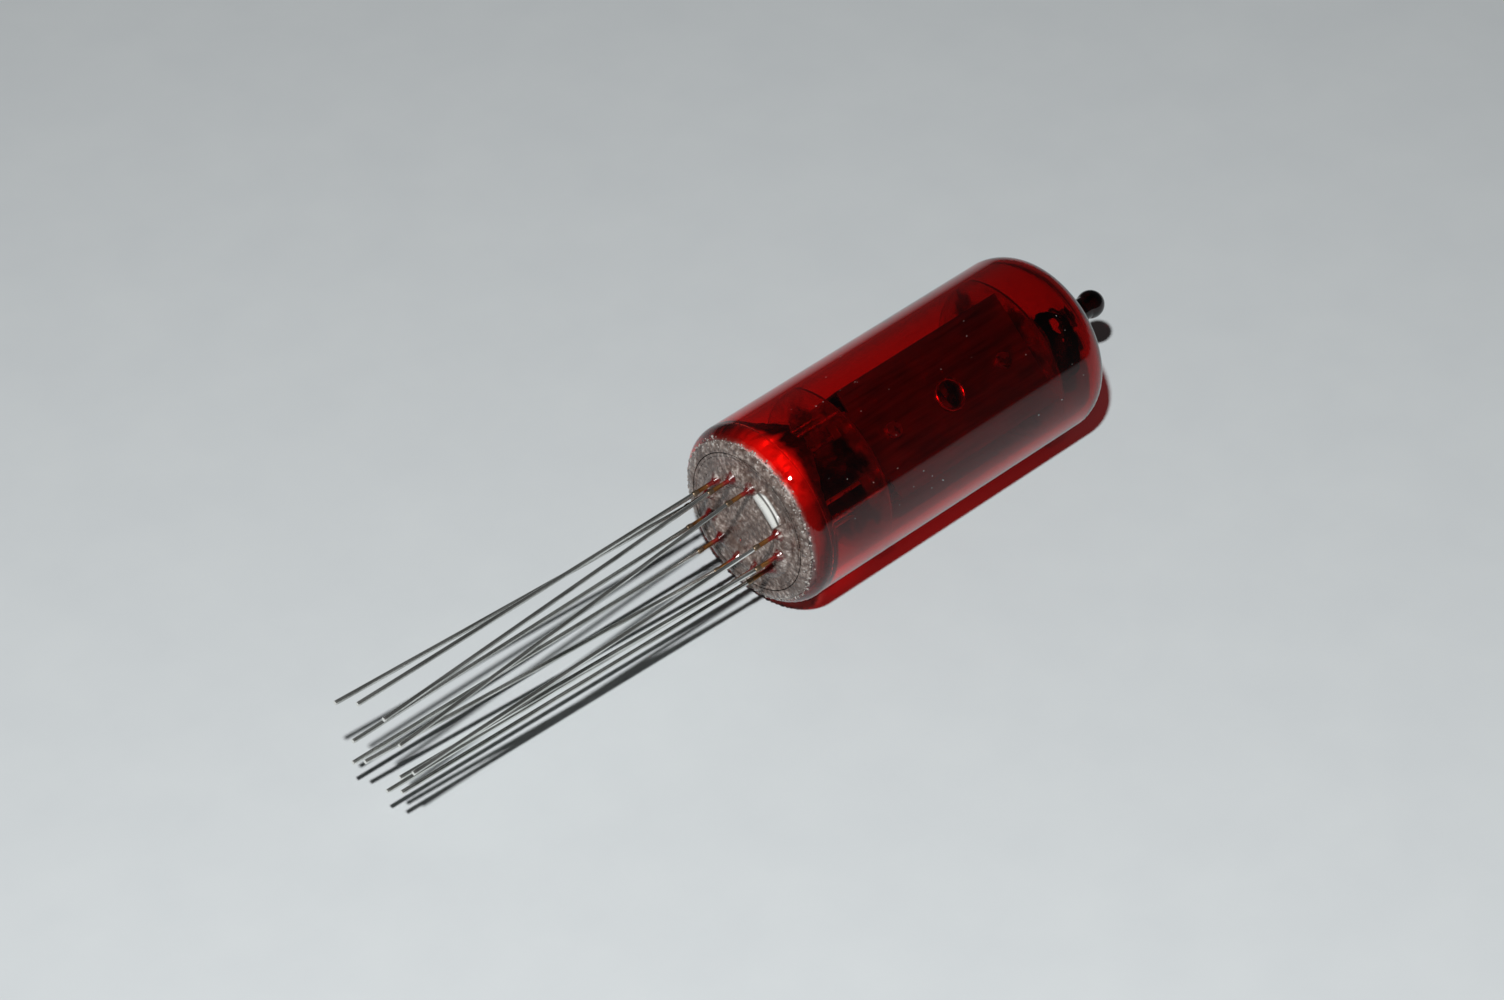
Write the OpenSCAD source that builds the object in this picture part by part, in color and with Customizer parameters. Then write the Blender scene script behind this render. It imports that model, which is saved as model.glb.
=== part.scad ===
// Numeric glow-discharge indicator tube with wire leads, lying on its side
// Millimetres. +X runs along the bulb to the sealing tip, +Z is up.
// The origin is on the axis, on the flat middle of the glass base.

/* [Bulb] */
// Outer diameter of the bulb
bulb_d = 19; // [18:0.5:24]
// Length from the base plane to the crown of the dome
bulb_l = 43.7; // [41:0.1:60]
// Thickness of the glass wall
wall = 0.9; // [0.6:0.05:1.2]
// Rounding of the foot, where the wall meets the base
foot_r = 2; // [1:0.1:2]
// Fillet inside the foot
foot_fillet = 0.7; // [0.3:0.1:1]
// Rounding of the shoulder of the dome
shoulder_r = 3.5; // [2:0.1:5]
// Slope of the crown between the shoulder and the tip, in degrees
crown_slope = 20; // [12:1:26]
// Turn about the axis as it lies: angle of the rear side from straight up
roll = 40; // [-180:5:180]

/* [Sealing tip] */
// Diameter of the neck of the sealed exhaust tip
neck_d = 2.4; // [1.6:0.1:2.6]
// Distance from the crown to the middle of the drop of glass
neck_l = 3.8; // [3:0.1:6]
// Diameter of the drop of glass
drop_d = 2.9; // [2.7:0.1:3.4]
// Fillet between the crown and the neck
flare_r = 1.8; // [0.6:0.1:2]

/* [Base] */
// Thickness of the pressed glass base
base_t = 2.6; // [2:0.1:4]
// Width of the flat ring between the base's seam and the rounding of the foot
seam_land = 0.1; // [0.05:0.05:0.4]
// Width of the ring ridge that carries the leads
ridge_w = 2.4; // [1.8:0.1:2.6]
// Height of the ring ridge above the base plane
ridge_h = 0.45; // [0.2:0.05:0.8]
// Diameter of a glass hump at the base plane
hump_d = 1.7; // [1.2:0.1:2]
// Diameter of a glass hump at its top
hump_top_d = 0.7; // [0.65:0.05:1.1]
// Height of a glass hump above the base plane
hump_h = 0.9; // [0.5:0.05:1.4]
// Length of the moulded half-round bar at the empty lead place
spare_bar_l = 3.7; // [2:0.1:4.4]
// Width of the moulded bar
spare_bar_w = 1.7; // [1:0.1:2.2]

/* [Leads] */
// Diameter of the circle of leads
lead_circle_d = 9.8; // [9:0.1:10.4]
// Diameter of a lead and of its seal wire
wire_d = 0.45; // [0.35:0.05:0.6]
// Length from the base plane to the tips of the leads
lead_l = 45.5; // [20:0.5:60]
// Length of seal wire that shows outside the base plane
seal_out = 3.2; // [1.6:0.1:6]
// Length of seal wire that stands up inside the bulb
seal_in = 0.8; // [0.4:0.1:1.6]

/* [Numerals] */
// Height of a numeral
digit_h = 13; // [10:0.1:15]
// Width of a numeral
digit_w = 7.6; // [6:0.1:8]
// Width of the sheet strips that form a numeral
stroke_w = 0.55; // [0.4:0.05:0.8]
// Thickness of a numeral's sheet
digit_t = 0.15; // [0.1:0.01:0.25]
// Distance from one numeral to the next
layer_pitch = 0.9; // [0.75:0.01:1.05]
// Outer diameter of the ears that hang a numeral on the rods
ear_d = 2.2; // [2:0.1:2.6]
// Distance from the end of a numeral to the middle of its ear
ear_rise = 1; // [0.8:0.05:1.4]

/* [Rods] */
// Diameter of the two rods through the ears
rod_d = 0.7; // [0.5:0.05:0.8]
// Wall of the ceramic sleeve on a rod
sleeve_wall = 0.27; // [0.2:0.01:0.35]
// Diameter of a rod's riveted heads
rod_head_d = 1.6; // [1.4:0.1:2.2]
// Height of a rod's riveted heads
rod_head_h = 0.35; // [0.2:0.05:0.6]

/* [Anode] */
// Thickness of the rear shield's sheet
shield_t = 0.2; // [0.15:0.01:0.3]
// Distance from the rearmost numeral to the rear shield
rear_gap = 1.35; // [0.8:0.05:1.6]
// Depth of the shield's side walls, from its rear face
side_depth = 8.2; // [5:0.1:8.6]
// Diameter of the lipped vent in the rear shield
vent_d = 3.2; // [2:0.1:4]
// Height of the vent's turned lip
vent_lip = 0.35; // [0.2:0.05:0.6]
// Width of the shield's feet and tabs
tab_w = 1.6; // [1:0.1:2]
// Length of the tabs beyond a mica spacer
tab_out = 0.9; // [0.4:0.1:1.4]
// Thickness of the front mesh's sheet
mesh_t = 0.15; // [0.1:0.01:0.2]
// Distance from the foremost numeral to the front mesh
front_gap = 0.95; // [0.7:0.05:1.2]
// Depth of the mesh's side flanges
flange_l = 3.4; // [2.6:0.1:5]
// Distance between neighbouring openings of the mesh
mesh_pitch = 1.3; // [1.2:0.05:2]
// Width of the bars of the mesh
mesh_bar = 0.26; // [0.2:0.02:0.4]
// Width of the plain border of the mesh
mesh_border = 0.7; // [0.5:0.05:1]

/* [Supports] */
// Thickness of the mica spacers
mica_t = 0.25; // [0.2:0.05:0.5]
// Distance from the upper spacer to the crown of the dome
dome_room = 9.6; // [8.6:0.1:12]
// Distance from the upper rod to the upper spacer
cage_top = 3.4; // [2.6:0.1:4.5]
// Diameter of the riser wires
riser_d = 0.4; // [0.3:0.02:0.5]
// Length over which a riser is welded to a numeral's tail
weld_l = 1.8; // [1:0.1:2.5]
// Length over which a riser steps across to its tail
bend_l = 1.4; // [1:0.1:2]
// Ring diameter of the getter, at the middle of its channel
getter_d = 4.2; // [3:0.1:5]
// Width of the getter's channel
getter_w = 1.4; // [1:0.1:1.8]
// Depth of the getter's channel
getter_t = 0.8; // [0.6:0.05:1]
// Thickness of the channel's sheet
getter_sheet = 0.15; // [0.1:0.01:0.2]
// Height to which the charge fills the channel
getter_fill = 0.5; // [0.3:0.05:0.55]
// Height of the getter above the upper spacer
getter_rise = 4; // [3:0.1:4.4]

/* [Fits] */
// Gap between a mica spacer and the glass
mica_clear = 0.1; // [0.05:0.01:0.3]
// Gap between the shield's corners and the glass
cage_clear = 0.5; // [0.3:0.05:0.8]
// Gap round whatever passes through a hole or a slot
hole_clear = 0.03; // [0.01:0.01:0.06]
// Gap between a numeral's tail and the shield
tail_clear = 1.2; // [0.8:0.05:1.6]
// Step left free between a bend and the piece beside it
step_clear = 0.4; // [0.2:0.05:0.6]

/* [Hidden] */
$fn = 48;
// Places on the lead circle: the rear one stays empty, the front one is the anode's
places = 12;
pitch_angle = 360 / places;
lead_count = places - 1;
anode_lead = places / 2;
// Numerals from the front of the stack to the rear
STACK = [1, 6, 2, 7, 5, 0, 4, 9, 8, 3];
layers = len(STACK);
// How each lead was bent: tip further from the axis, and turned about it in degrees
LEAD_BENDS = [
    [-0.5, 13], [-2.1, 22], [-0.8, 13], [-0.2, 16], [-0.9, 31], [1.4, 5],
    [-0.4, 0], [1.8, 5], [0.1, 11], [-0.3, 27], [-1.1, 34]
];
arc_steps = 14;
eps = 0.01;

bulb_r = bulb_d / 2;
bore_r = bulb_r - wall;
seam_r = bulb_r - foot_r - seam_land;
wire_r = wire_d / 2;
riser_r = riser_d / 2;
lead_circle_r = lead_circle_d / 2;
// The swell at a wire's bends, as a share of its radius
bead = 1.2;

// Dome: where the shoulder starts and ends
shoulder_turn = 90 - crown_slope;
shoulder_end_r = bulb_r - shoulder_r + shoulder_r * cos(shoulder_turn);
dome_h = shoulder_r * sin(shoulder_turn) + shoulder_end_r * tan(crown_slope);
shoulder_x = bulb_l - dome_h;
// Sealing tip: where the flare leaves the crown, and where the neck meets the drop
neck_r = neck_d / 2;
drop_r = drop_d / 2;
drop_x = bulb_l + neck_l;
flare_start_r = neck_r + flare_r * (1 - sin(crown_slope));
flare_x = bulb_l - flare_start_r * tan(crown_slope) + flare_r * cos(crown_slope);
drop_angle = asin(neck_r / drop_r);
inner_tip_x = bulb_l - wall / cos(crown_slope);

// Depths of the stack, measured towards the rear
half_stack = (layers - 1) / 2 * layer_pitch;
shield_face = half_stack + digit_t / 2 + rear_gap;
shield_back = shield_face + shield_t;
mesh_face = -half_stack - digit_t / 2 - front_gap;
mesh_front = mesh_face - mesh_t;
// Half widths of the shield and of the mesh nested in it
shield_half_w = sqrt(pow(bore_r - cage_clear, 2) - pow(shield_back, 2));
mesh_half_w = shield_half_w - shield_t;
tail_reach = mesh_half_w - tail_clear;

// Lengths along the axis, from the dome down to the base
mica_hi = bulb_l - dome_room;
ear_y = digit_h / 2 + ear_rise;
ear_r = ear_d / 2;
ear_hi = mica_hi - cage_top;
digit_x = ear_hi - ear_y;
ear_lo = digit_x - ear_y;
weld_hi = ear_lo - ear_r - step_clear;
weld_lo = weld_hi - weld_l;
bend_lo = weld_lo - bend_l;
bead_r = riser_r * bead;
tail_lo = weld_lo + bead_r + hole_clear;
mica_lo = bend_lo - step_clear - mica_t;
getter_x = mica_hi + mica_t + getter_rise;

// Rods, sleeves and rings
rod_r = rod_d / 2;
sleeve_in_r = rod_r + hole_clear;
sleeve_r = sleeve_in_r + sleeve_wall;
ring_in_r = sleeve_r + hole_clear;
post_depth = shield_face - riser_r;

// Proportions of the numerals
hx = (digit_w - stroke_w) / 2;
hy = (digit_h - stroke_w) / 2;
bowl_r = min(hx, 0.28 * digit_h);
cap_r = hy - bowl_r;
one_x = -0.28 * digit_w;
one_drop = 0.3 * digit_w;
two_start = 170;
two_end = -35;
three_hook = 150;
four_x = 0.2 * digit_w;
four_y = -0.22 * digit_h;
five_angle = 140;
five_hook = -150;
seven_x = -0.12 * digit_w;
six_x = 0.026 * digit_w;

function two(k) = k < 10 ? str("0", k) : str(k);
function arc_points(c, r, a0, a1) =
    [for (i = [0 : arc_steps]) let (a = a0 + (a1 - a0) * i / arc_steps) [c.x + r * cos(a), c.y + r * sin(a)]];
// A lead's place, its angle about the axis, and its tip
function lead_angle(k) = 90 + k * pitch_angle;
function around(x, r, a) = [x, r * cos(a), r * sin(a)];
function lead_at(k, x) = around(x, lead_circle_r, lead_angle(k));
function lead_tip(k) =
    around(-lead_l, lead_circle_r + LEAD_BENDS[k - 1][0], lead_angle(k) + LEAD_BENDS[k - 1][1]);
// Leads left and right of the anode's lead serve the layers in turn
function layer_of(k) = k < anode_lead ? 2 * (anode_lead - 1 - k) : 2 * (k - anode_lead) - 1;
function lead_of(j) = j % 2 == 0 ? anode_lead - 1 - j / 2 : anode_lead + (j + 1) / 2;
function depth_of(j) = (j - (layers - 1) / 2) * layer_pitch;
function tail_y(k) = sign(lead_at(k, 0).y) * min(abs(lead_at(k, 0).y), tail_reach);
// Places of a numeral's links and of the shield's feet and tabs, across the stack
function link_top(n) = n == 4 ? four_x : n == 6 ? six_x : 0;
function link_low(n) = n == 4 ? four_x : n == 7 ? seven_x : n == 9 ? -six_x : 0;
function tab_place(s) = s * shield_half_w / 2;

// Turns the pieces that were drawn with the rear side up to where they lie
module rolled() {
    rotate([roll, 0, 0]) children();
}

// Revolves a profile of points [radius, x] about the axis
module turned(points) {
    rotate([0, 90, 0]) rotate_extrude($fn = 96) polygon(points);
}

// Straight round bar from p to q
module bar(p, q, r) {
    d = q - p;
    translate(p)
        rotate([0, acos(d.z / norm(d)), atan2(d.y, d.x)])
            cylinder(h = norm(d), r = r);
}

// Round wire along a few points, with a small swell at each bend
module wire(points, r) {
    for (i = [1 : len(points) - 2])
        translate(points[i]) sphere(r = r * bead);
    for (i = [0 : len(points) - 2])
        bar(points[i], points[i + 1], r);
}

// Sheet metal across the stack: the drawing's right is +Y and its top is the dome
module sheet(depth, t) {
    translate([0, 0, depth + t / 2])
        rotate([180, 0, 90])
            linear_extrude(t) children();
}

// Glass bulb with its foot, wall, dome and sealed tip, open at the seam
module envelope() {
    outer = concat(
        [[seam_r, 0]],
        arc_points([bulb_r - foot_r, foot_r], foot_r, -90, 0),
        arc_points([bulb_r - shoulder_r, shoulder_x], shoulder_r, 0, shoulder_turn),
        arc_points([neck_r + flare_r, flare_x], flare_r, 270 - crown_slope, 180),
        arc_points([0, drop_x], drop_r, drop_angle - 90, 90)
    );
    inner = concat(
        [[0, inner_tip_x]],
        arc_points([bulb_r - shoulder_r, shoulder_x], shoulder_r - wall, shoulder_turn, 0),
        arc_points([bore_r - foot_fillet, base_t + foot_fillet], foot_fillet, 0, -90),
        [[seam_r, base_t]]
    );
    color("firebrick", 0.5) turned(concat(outer, inner));
}

// Pressed glass disc with a ring ridge, a bar at the empty place and a hump round each seal wire
module base_button() {
    ridge_r = ridge_w / 2;
    arch_r = (ridge_r * ridge_r + ridge_h * ridge_h) / (2 * ridge_h);
    arch_a = asin(ridge_r / arch_r);
    profile = concat(
        [[0, base_t], [0, 0]],
        arc_points([lead_circle_r, arch_r - ridge_h], arch_r, -90 - arch_a, -90 + arch_a),
        [[seam_r, 0], [seam_r, base_t]]
    );
    color("lightgray", 0.6) rolled() difference() {
        union() {
            turned(profile);
            translate([0, -spare_bar_l / 2, lead_circle_r])
                rotate([-90, 0, 0]) cylinder(h = spare_bar_l, d = spare_bar_w);
            for (k = [1 : lead_count])
                translate(lead_at(k, -hump_h))
                    rotate([0, 90, 0])
                        cylinder(h = hump_h + base_t / 2, r1 = hump_top_d / 2,
                            r2 = hump_d / 2 + (hump_d - hump_top_d) / 2 * base_t / 2 / hump_h);
        }
        for (k = [1 : lead_count])
            bar(lead_at(k, -hump_h - eps), lead_at(k, base_t + eps), wire_r);
    }
}

// Copper-clad wire, straight through the glass
module seal_wire(k) {
    color("peru") rolled()
        bar(lead_at(k, -seal_out), lead_at(k, base_t + seal_in), wire_r);
}

// Tinned wire, butted square on the seal wire and gently splayed
module lead(k) {
    start = lead_at(k, -seal_out);
    tip = lead_tip(k);
    past = start + (start - tip) / norm(start - tip) * wire_d;
    color("silver") rolled() difference() {
        bar(tip, past, wire_r);
        translate([-seal_out, start.y - wire_d, start.z - wire_d]) cube(2 * wire_d);
    }
}

// Inner wire from a seal wire up to the tail of its numeral, or to the mesh
module riser(k) {
    depth = k == anode_lead ? mesh_face + riser_r : depth_of(layer_of(k)) + digit_t / 2 + riser_r;
    side = k == anode_lead ? 0 : tail_y(k);
    color("gray") rolled()
        wire([lead_at(k, base_t + seal_in), lead_at(k, bend_lo), [weld_lo, side, depth], [weld_hi, side, depth]],
            riser_r);
}

// One flat strip of a numeral, with square ends
module strip(p, q) {
    d = q - p;
    translate(p)
        rotate(atan2(d.y, d.x))
            translate([-stroke_w / 2, -stroke_w / 2])
                square([norm(d) + stroke_w, stroke_w]);
}

// One curved strip of a numeral, from angle a0 to a1
module curl(c, r, a0, a1) {
    translate(c) intersection() {
        difference() {
            circle(r + stroke_w / 2);
            circle(r - stroke_w / 2);
        }
        polygon(concat([[0, 0]], arc_points([0, 0], 2 * r, a0, a1)));
    }
}

// Whole ring of a numeral
module loop(c, r) {
    translate(c) difference() {
        circle(r + stroke_w / 2);
        circle(r - stroke_w / 2);
    }
}

// Outline of a six, its stem one arc that meets the ring
module six() {
    rise = 2 * hy - hx;
    turn = 2 * atan2(rise, hx + six_x);
    reach = rise / sin(turn);
    loop([0, hx - hy], hx);
    curl([reach - hx, hx - hy], reach, turn, 180);
}

// Outline of a numeral, centred
module numeral(n) {
    if (n == 0) {
        curl([0, hy - hx], hx, 0, 180);
        curl([0, hx - hy], hx, 180, 360);
        for (s = [-1, 1])
            translate([s * hx, 0]) square([stroke_w, 2 * (hy - hx)], center = true);
    }
    if (n == 1) {
        strip([0, -hy], [0, hy]);
        strip([0, hy], [one_x, hy - one_drop]);
    }
    if (n == 2) {
        curl([0, hy - hx], hx, two_end, two_start);
        strip([hx * cos(two_end), hy - hx + hx * sin(two_end)], [-hx, -hy]);
        strip([-hx, -hy], [hx, -hy]);
    }
    if (n == 3) {
        curl([0, hy - cap_r], cap_r, -90, three_hook);
        curl([0, bowl_r - hy], bowl_r, -three_hook, 90);
    }
    if (n == 4) {
        strip([four_x, hy], [four_x, -hy]);
        strip([four_x, hy], [-hx, four_y]);
        strip([-hx, four_y], [hx, four_y]);
    }
    if (n == 5) {
        left = hx * cos(five_angle);
        curl([0, hx - hy], hx, five_hook, five_angle);
        strip([left, hx - hy + hx * sin(five_angle)], [left, hy]);
        strip([left, hy], [-left, hy]);
    }
    if (n == 6) six();
    if (n == 7) {
        strip([-hx, hy], [hx, hy]);
        strip([hx, hy], [seven_x, -hy]);
    }
    if (n == 8) {
        loop([0, hy - cap_r], cap_r);
        loop([0, bowl_r - hy], bowl_r);
    }
    if (n == 9) rotate(180) six();
}

// Stamped numeral with an ear on each rod and a tail down to its riser
module cathode(n) {
    j = search(n, STACK)[0];
    tail = tail_y(lead_of(j));
    color("dimgray") rolled() translate([digit_x, 0, 0]) sheet(depth_of(j), digit_t) difference() {
        union() {
            numeral(n);
            strip([0, ear_y], [link_top(n), hy]);
            strip([0, -ear_y], [link_low(n), -hy]);
            for (s = [-1, 1])
                translate([0, s * ear_y]) circle(ear_r);
            strip([0, -ear_y], [tail, -ear_y]);
            strip([tail, -ear_y], [tail, tail_lo + stroke_w / 2 - digit_x]);
        }
        for (s = [-1, 1])
            translate([0, s * ear_y]) circle(ring_in_r);
    }
}

// Folded sheet channel behind the numerals, with a lipped vent, feet and tabs
module rear_shield() {
    side_front = shield_back - side_depth;
    foot_bottom = mica_lo - tab_out;
    tab_top = mica_hi + mica_t + tab_out;
    color("darkslategray") rolled() difference() {
        union() {
            translate([weld_lo, -shield_half_w, shield_face])
                cube([mica_hi - weld_lo, 2 * shield_half_w, shield_t]);
            for (s = [-1, 1]) {
                translate([weld_lo, s > 0 ? mesh_half_w : -shield_half_w, side_front])
                    cube([mica_hi - weld_lo, shield_t, side_depth]);
                translate([mica_hi - eps, s > 0 ? mesh_half_w : -shield_half_w, -tab_w / 2])
                    cube([tab_top - mica_hi + eps, shield_t, tab_w]);
                translate([foot_bottom, tab_place(s) - tab_w / 2, shield_face])
                    cube([weld_lo - foot_bottom + eps, tab_w, shield_t]);
                translate([mica_hi - eps, tab_place(s) - tab_w / 2, shield_face])
                    cube([tab_top - mica_hi + eps, tab_w, shield_t]);
            }
            translate([digit_x, 0, shield_face])
                cylinder(h = shield_t + vent_lip, d = vent_d);
        }
        translate([digit_x, 0, shield_face - eps])
            cylinder(h = shield_t + vent_lip + 2 * eps, d = vent_d - 2 * shield_t);
        for (x = [ear_lo, ear_hi])
            translate([x, 0, shield_face - eps]) cylinder(h = shield_t + 2 * eps, r = sleeve_in_r);
    }
}

// Honeycomb sheet in front of the numerals, with side flanges inside the shield
module front_mesh() {
    lo = tail_lo;
    hi = ear_hi + ear_r + mesh_border;
    row = mesh_pitch * sqrt(3) / 2;
    window_w = mesh_half_w - mesh_t - mesh_border;
    window_h = digit_h / 2 + ear_rise - ear_r / 2 - mesh_border;
    rows = floor((window_h - mesh_pitch / 2) / row);
    open_r = (mesh_pitch - mesh_bar) / sqrt(3);
    color("gainsboro") rolled() difference() {
        union() {
            translate([lo, -mesh_half_w, mesh_front])
                cube([hi - lo, 2 * mesh_half_w, mesh_t]);
            for (s = [-1, 1])
                translate([lo, s > 0 ? mesh_half_w - mesh_t : -mesh_half_w, mesh_front])
                    cube([hi - lo, mesh_t, flange_l]);
        }
        for (i = [-rows : rows]) {
            shift = i % 2 == 0 ? 0 : mesh_pitch / 2;
            columns = floor((window_w - mesh_pitch / 2 - shift) / mesh_pitch);
            for (c = [-columns - (shift > 0 ? 1 : 0) : columns])
                translate([digit_x + i * row, c * mesh_pitch + shift, mesh_front - eps])
                    cylinder(h = mesh_t + 2 * eps, r = open_r, $fn = 6);
        }
        for (x = [ear_lo, ear_hi])
            translate([x, 0, mesh_front - eps]) cylinder(h = mesh_t + 2 * eps, r = sleeve_in_r);
    }
}

// Round mica sheet that touches the glass all round
module mica_disc(x) {
    translate([x, 0, 0]) rotate([0, 90, 0]) cylinder(h = mica_t, r = bore_r - mica_clear, $fn = 96);
}

// Slot through a spacer for a tab of the given size
module slot(x, y, depth, w_y, w_depth) {
    translate([x - eps, y - w_y / 2 - hole_clear, depth - w_depth / 2 - hole_clear])
        cube([mica_t + 2 * eps, w_y + 2 * hole_clear, w_depth + 2 * hole_clear]);
}

// Lower mica, threaded on the risers and on the shield's feet
module lower_spacer() {
    color("wheat", 0.8) rolled() difference() {
        mica_disc(mica_lo);
        for (k = [1 : lead_count])
            bar(lead_at(k, mica_lo - eps), lead_at(k, mica_lo + mica_t + eps), riser_r + hole_clear);
        for (s = [-1, 1])
            slot(mica_lo, tab_place(s), shield_face + shield_t / 2, tab_w, shield_t);
    }
}

// Upper mica, held by the shield's tabs and by the getter's post
module upper_spacer() {
    color("wheat", 0.8) rolled() difference() {
        mica_disc(mica_hi);
        for (s = [-1, 1]) {
            slot(mica_hi, tab_place(s), shield_face + shield_t / 2, tab_w, shield_t);
            slot(mica_hi, s * (mesh_half_w + shield_t / 2), 0, shield_t, tab_w);
        }
        bar([mica_hi - eps, 0, post_depth], [mica_hi + mica_t + eps, 0, post_depth], riser_r + hole_clear);
    }
}

// Rod through the shield, the ears and the mesh, with a riveted head at each end
module stack_rod(x) {
    color("silver") rolled() {
        translate([x, 0, mesh_front]) cylinder(h = shield_back - mesh_front, d = rod_d);
        translate([x, 0, shield_back]) cylinder(h = rod_head_h, d = rod_head_d);
        translate([x, 0, mesh_front - rod_head_h]) cylinder(h = rod_head_h, d = rod_head_d);
    }
}

// Ceramic tube that keeps the ears off the rod
module sleeve(x) {
    color("ivory") rolled() difference() {
        translate([x, 0, mesh_face]) cylinder(h = shield_face - mesh_face, r = sleeve_r);
        translate([x, 0, mesh_face - eps])
            cylinder(h = shield_face - mesh_face + 2 * eps, r = sleeve_in_r);
    }
}

// Ceramic rings that set the numerals apart, from the mesh to the shield
module spacer_rings(x) {
    faces = concat([mesh_face], [for (j = [0 : layers - 1]) depth_of(j) + digit_t / 2]);
    tops = concat([for (j = [0 : layers - 1]) depth_of(j) - digit_t / 2], [shield_face]);
    color("ivory") rolled() for (i = [0 : layers]) difference() {
        translate([x, 0, faces[i]]) cylinder(h = tops[i] - faces[i], r = ear_r);
        translate([x, 0, faces[i] - eps]) cylinder(h = tops[i] - faces[i] + 2 * eps, r = ring_in_r);
    }
}

// Channel ring with the charge that cleans the gas, open towards the dome
module getter_ring() {
    out = getter_w / 2;
    in = out - getter_sheet;
    section = [
        [-out, 0], [out, 0], [out, getter_t], [in, getter_t],
        [in, getter_fill], [-in, getter_fill], [-in, getter_t], [-out, getter_t]
    ];
    color("dimgray") rolled()
        translate([getter_x - getter_t / 2, 0, 0]) rotate([0, 90, 0])
            rotate_extrude() translate([getter_d / 2, 0]) polygon(section);
}

// Wire from the rear shield up through the upper spacer to the getter
module getter_post() {
    low = mica_hi - cage_top / 2;
    bend = mica_hi + mica_t + tab_out;
    end = [getter_x - getter_t / 2 - bead_r, 0, getter_d / 2];
    color("gray") rolled() {
        translate(end) sphere(r = bead_r);
        wire([[low, 0, post_depth], [bend, 0, post_depth], end], riser_r);
    }
}

envelope();
base_button();
for (k = [1 : lead_count]) {
    lead(k);
    seal_wire(k);
    riser(k);
}
for (n = [0 : layers - 1])
    cathode(n);
rear_shield();
front_mesh();
lower_spacer();
upper_spacer();
stack_rod(ear_lo);  // stack_rod_lower
stack_rod(ear_hi);  // stack_rod_upper
sleeve(ear_lo);  // sleeve_lower
sleeve(ear_hi);  // sleeve_upper
spacer_rings(ear_lo);  // spacer_rings_lower
spacer_rings(ear_hi);  // spacer_rings_upper
getter_ring();
getter_post();
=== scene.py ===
# %% [markdown]
# # A numeric glow tube, dressed for the camera
# The tube comes from the CAD as a fixed frame: a glass bulb, a pressed glass base, eleven long
# leads and the stack of numerals inside. Nothing is modelled again here. Each solid keeps its
# shape and gets the finish of the real thing, and a few small things that a solid model leaves
# out are added on top. Blender counts in metres, so one name turns millimetres into metres.

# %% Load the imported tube
import math
import random

import bmesh
import bpy
from mathutils import Matrix, Vector, noise


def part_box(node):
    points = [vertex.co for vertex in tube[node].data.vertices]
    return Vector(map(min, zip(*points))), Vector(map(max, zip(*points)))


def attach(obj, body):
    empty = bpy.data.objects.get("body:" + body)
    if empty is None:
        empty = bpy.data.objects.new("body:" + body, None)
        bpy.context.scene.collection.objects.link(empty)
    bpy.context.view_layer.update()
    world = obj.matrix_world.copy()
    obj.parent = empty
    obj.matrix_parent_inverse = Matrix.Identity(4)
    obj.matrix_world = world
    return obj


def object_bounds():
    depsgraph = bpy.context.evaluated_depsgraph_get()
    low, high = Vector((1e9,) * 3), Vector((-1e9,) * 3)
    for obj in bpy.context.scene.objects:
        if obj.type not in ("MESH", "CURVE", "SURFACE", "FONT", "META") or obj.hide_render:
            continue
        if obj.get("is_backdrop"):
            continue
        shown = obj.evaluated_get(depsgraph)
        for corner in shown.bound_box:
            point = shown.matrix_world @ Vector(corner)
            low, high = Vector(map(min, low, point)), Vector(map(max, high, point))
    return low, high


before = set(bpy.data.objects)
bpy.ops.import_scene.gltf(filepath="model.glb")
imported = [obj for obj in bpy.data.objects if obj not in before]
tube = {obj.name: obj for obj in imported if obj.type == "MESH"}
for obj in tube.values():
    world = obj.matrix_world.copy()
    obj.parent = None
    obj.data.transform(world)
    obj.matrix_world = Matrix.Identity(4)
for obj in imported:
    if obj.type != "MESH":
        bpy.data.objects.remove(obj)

MM = 0.001
cad_low, cad_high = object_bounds()
print("tube with", len(tube), "solids, size in mm:", [round(v / MM, 1) for v in cad_high - cad_low])

# %% [markdown]
# ## The camera
# The photograph looks down on the lying tube from its base end. A camera can be dragged into
# place by eye, or worked out. Here one point of the tube's axis and the pixel that shows it
# place the camera, once the direction and the distance are known. Moving the camera sideways,
# and not turning it, keeps the lens free of any shift.

# %% Camera
PHOTO_WIDE, PHOTO_HIGH = 1504, 1000
SENSOR_WIDE, LENS = 36.0, 116.3
CAMERA_AZIMUTH, CAMERA_RISE = math.radians(-43.6), math.radians(41.5)
AIM = Vector((22 * MM, 0, 0))
AIM_PIXEL = (910.3, 418.2)
AIM_DEPTH = 474 * MM


def towards(azimuth, rise):
    """Direction from the tube to something at this azimuth and height angle"""
    return Vector((math.sin(azimuth) * math.cos(rise), -math.cos(azimuth) * math.cos(rise), math.sin(rise)))


back = towards(CAMERA_AZIMUTH, CAMERA_RISE)
turn = (-back).to_track_quat("-Z", "Y")
metres_per_pixel = AIM_DEPTH * SENSOR_WIDE / LENS / PHOTO_WIDE
sideways = turn @ Vector((AIM_PIXEL[0] - PHOTO_WIDE / 2, PHOTO_HIGH / 2 - AIM_PIXEL[1], 0)) * metres_per_pixel

camera = bpy.data.objects.new("camera", bpy.data.cameras.new("camera"))
camera.data.sensor_width = SENSOR_WIDE
camera.data.lens = LENS
camera.data.clip_start = 10 * MM
camera.rotation_mode = "QUATERNION"
camera.rotation_quaternion = turn
camera.location = AIM + back * AIM_DEPTH - sideways
bpy.context.collection.objects.link(camera)
bpy.context.scene.camera = camera
print("camera at (mm)", [round(v / MM, 1) for v in camera.location])

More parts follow.
